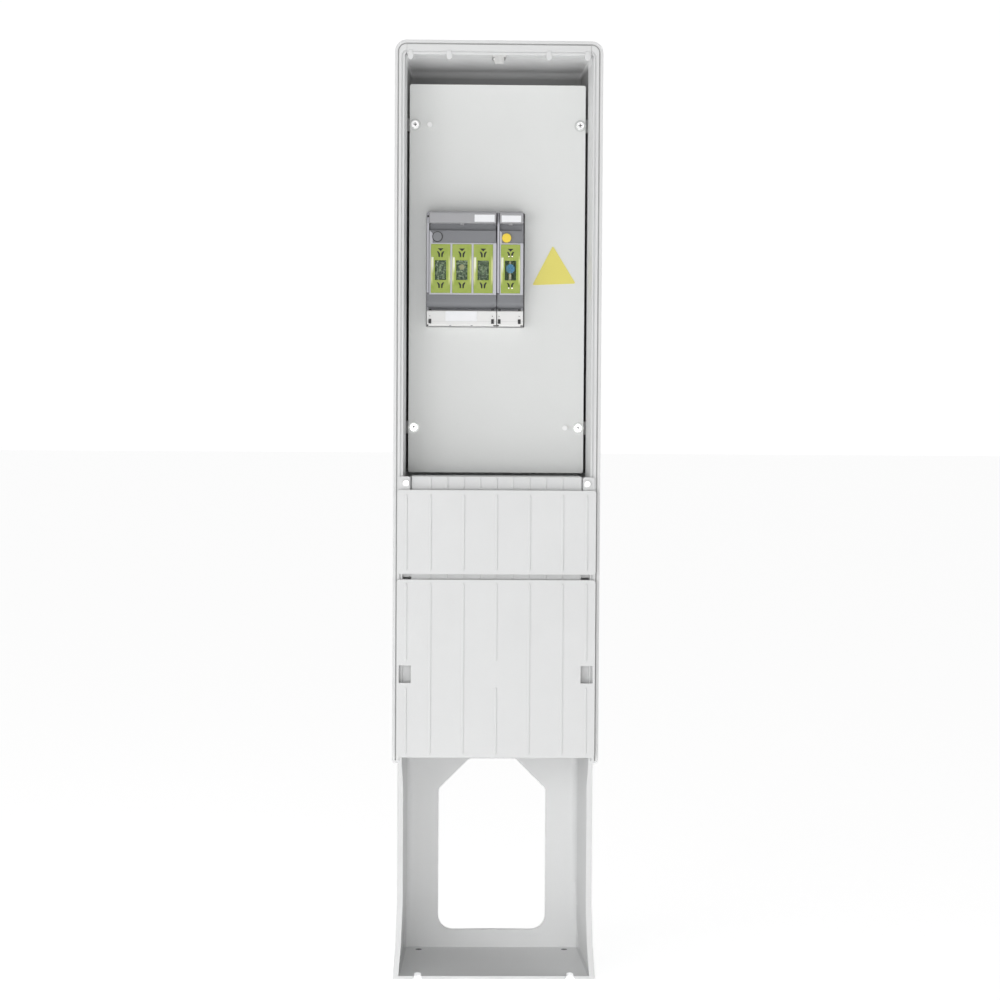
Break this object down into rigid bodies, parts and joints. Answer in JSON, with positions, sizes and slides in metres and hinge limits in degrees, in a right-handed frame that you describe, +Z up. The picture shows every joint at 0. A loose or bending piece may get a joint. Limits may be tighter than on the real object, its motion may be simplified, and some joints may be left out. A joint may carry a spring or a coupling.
{
  "type": "service connection pillar",
  "caption": "Tall moulded service pillar, door off: cable covers, touch-proof panel, hinged fuse switch and neutral disconnector inside, anchor foot.",
  "frame": {"origin": "on the ground under the middle of the pillar, halfway between the covers' ribs and the back wall", "axes": "+Z up, front towards -Y, +X to the right seen from the front"},
  "size_m": [0.32, 0.215, 1.453],
  "materials": {
    "body": "light grey moulded plastic, fine grain",
    "panel": "light grey sheet plastic, faint green cast",
    "switch_dark": "mid grey moulded plastic",
    "grip": "grey moulded plastic",
    "frame_plastic": "pale lavender grey moulded plastic",
    "button_yellow": "yellow moulded plastic",
    "steel": "zinc-plated steel",
    "stainless": "stainless steel",
    "nickel": "nickel plate on copper",
    "brass": "brass",
    "copper": "bare copper",
    "ceramic": "glazed dark ceramic",
    "cream": "cream plastic",
    "blue": "blue plastic",
    "tinted": "yellow-green transparent plastic",
    "clear": "clear plastic, a little milky",
    "black": "black glass-filled plastic"
  },
  "bodies": {
    "pillar": {"pillar_shell": "body", "roof_rail": "body", "lock_keeper": "stainless", "keeper_screws": "stainless", "cover_panel": "panel", "panel_screws": "stainless", "panel_washers": "panel", "sealing_studs": "stainless", "mounting_plate": "steel", "plate_posts": "steel", "plate_nuts": "steel", "upper_cover": "body", "upper_cover_screws": "stainless", "lower_cover": "body", "lower_cover_screws": "stainless", "cable_rail": "steel", "cable_rail_bolts": "steel", "clamp_backs": "black", "clamp_fronts": "black", "clamp_bolts": "steel", "switch3_base": "frame_plastic", "switch3_base_screws": "steel", "switch3_contacts": "nickel", "switch3_terminals": "brass", "switch3_terminal_screws": "steel", "switch3_hinge_pin": "stainless", "switch3_terminal_cover": "clear", "switch1_base": "frame_plastic", "switch1_base_screws": "steel", "switch1_contacts": "nickel", "switch1_terminals": "brass", "switch1_terminal_screws": "steel", "switch1_hinge_pin": "stainless", "switch1_terminal_cover": "clear"},
    "lid3": {"switch3_lid": "switch_dark", "switch3_window_frame": "frame_plastic", "switch3_windows": "tinted", "switch3_grip": "grip", "fuse_bodies": "ceramic", "fuse_ends": "nickel", "fuse_indicators": "cream"},
    "lid1": {"switch1_lid": "switch_dark", "switch1_window_frame": "frame_plastic", "switch1_window": "tinted", "switch1_grip": "grip", "neutral_link": "copper", "neutral_disc": "blue"},
    "button3": {"switch3_lock_button": "switch_dark"},
    "button1": {"switch1_lock_button": "button_yellow"}
  },
  "joints": [
    {"name": "switch3_lid_hinge", "type": "hinge", "parent": "pillar", "child": "lid3", "pos_m": [-0.0553, -0.03, 1.055], "axis": [1, 0, 0], "range_deg": [0, 85]},
    {"name": "switch1_lid_hinge", "type": "hinge", "parent": "pillar", "child": "lid1", "pos_m": [0.02065, -0.03, 1.055], "axis": [1, 0, 0], "range_deg": [0, 85]},
    {"name": "switch3_lock_press", "type": "slide", "parent": "lid3", "child": "button3", "axis": [0, 1, 0], "range_m": [0, 0.003], "stiffness_N_per_m": 800},
    {"name": "switch1_lock_press", "type": "slide", "parent": "lid1", "child": "button1", "axis": [0, 1, 0], "range_m": [0, 0.003], "stiffness_N_per_m": 800}
  ]
}
